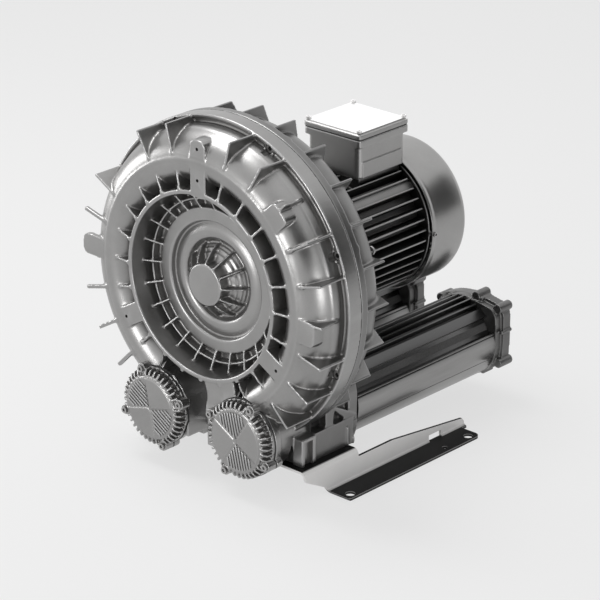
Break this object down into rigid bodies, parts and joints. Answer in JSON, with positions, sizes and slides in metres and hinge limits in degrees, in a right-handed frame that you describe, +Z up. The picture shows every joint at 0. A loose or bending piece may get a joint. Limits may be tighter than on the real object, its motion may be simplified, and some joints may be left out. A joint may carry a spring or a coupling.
{
  "type": "side channel blower",
  "caption": "Side channel blower with finned ring casing, flange motor, twin inlet and outlet silencers, capped front ports and floor brackets; rotor, impeller and fan turn together.",
  "frame": {"origin": "floor level, at the centre of the rectangle of the four foot holes", "axes": "+Z up; +Y from the casing's cover towards the motor and the pipe ports; +X to the right seen from the cover; the shaft runs along Y at x = 0, 295 mm above the floor"},
  "size_m": [0.478, 0.5443, 0.5339],
  "materials": {
    "black_plastic": "matte",
    "bright_steel": "ground",
    "cast_aluminium": "as cast, bead blasted",
    "core_steel": "laminated sheet",
    "extruded_aluminium": "satin extruded",
    "fan_cover_steel": "satin silver paint",
    "gasket": "matte",
    "grey_plastic": "matte",
    "impeller_aluminium": "machined",
    "motor_aluminium": "as cast, bead blasted",
    "screws": "zinc plated",
    "seal_rubber": "matte",
    "sheet_steel": "zinc plated sheet",
    "silencer_foam": "open cell foam",
    "stud_brass": "turned",
    "winding_copper": "enamelled copper"
  },
  "bodies": {
    "housing": {"bracket_screws": "screws", "end_shield_screws": "screws", "entry_plugs": "grey_plastic", "fan_cover": "fan_cover_steel", "fan_cover_screws": "screws", "flange_bolts": "screws", "foot_bracket_left": "sheet_steel", "foot_bracket_right": "sheet_steel", "front_bearing_outer": "bright_steel", "front_cover": "cast_aluminium", "housing_gasket": "gasket", "lid_gasket": "gasket", "lid_screws": "screws", "motor_bolts": "screws", "motor_frame": "motor_aluminium", "pipe_screens": "bright_steel", "port_cap_left": "cast_aluminium", "port_cap_right": "cast_aluminium", "port_cap_screws": "screws", "port_gasket_left": "gasket", "port_gasket_right": "gasket", "preload_spring": "bright_steel", "rear_bearing_outer": "bright_steel", "rear_end_shield": "motor_aluminium", "rear_housing": "cast_aluminium", "shaft_seal": "seal_rubber", "silencer_bolts": "screws", "silencer_end_left": "cast_aluminium", "silencer_end_right": "cast_aluminium", "silencer_foam_left": "silencer_foam", "silencer_foam_right": "silencer_foam", "silencer_gasket_left": "gasket", "silencer_gasket_right": "gasket", "silencer_tube_left": "extruded_aluminium", "silencer_tube_right": "extruded_aluminium", "stator_core": "core_steel", "stator_windings": "winding_copper", "terminal_board": "black_plastic", "terminal_box": "motor_aluminium", "terminal_box_lid": "motor_aluminium", "terminal_studs": "stud_brass"},
    "rotor": {"shaft": "bright_steel", "impeller": "impeller_aluminium", "impeller_key": "bright_steel", "impeller_spacer": "impeller_aluminium", "end_washer": "bright_steel", "end_bolt": "screws", "rotor_core": "core_steel", "cooling_fan": "black_plastic", "fan_clip": "bright_steel", "front_bearing_inner": "bright_steel", "rear_bearing_inner": "bright_steel"},
    "front_ball_set": {"front_bearing_balls": "bright_steel", "front_bearing_cage": "bright_steel"},
    "rear_ball_set": {"rear_bearing_balls": "bright_steel", "rear_bearing_cage": "bright_steel"}
  },
  "joints": [
    {"name": "rotor_spin", "type": "hinge", "parent": "housing", "child": "rotor", "pos_m": [0, 0, 0.295], "axis": [0, 1, 0], "continuous": true},
    {"name": "front_balls_spin", "type": "hinge", "parent": "housing", "child": "front_ball_set", "pos_m": [0, 0, 0.295], "axis": [0, 1, 0], "continuous": true},
    {"name": "rear_balls_spin", "type": "hinge", "parent": "housing", "child": "rear_ball_set", "pos_m": [0, 0, 0.295], "axis": [0, 1, 0], "continuous": true}
  ],
  "couplings": [
    {"joint": "front_balls_spin", "follows": "rotor_spin", "ratio": 0.398},
    {"joint": "rear_balls_spin", "follows": "rotor_spin", "ratio": 0.398}
  ]
}
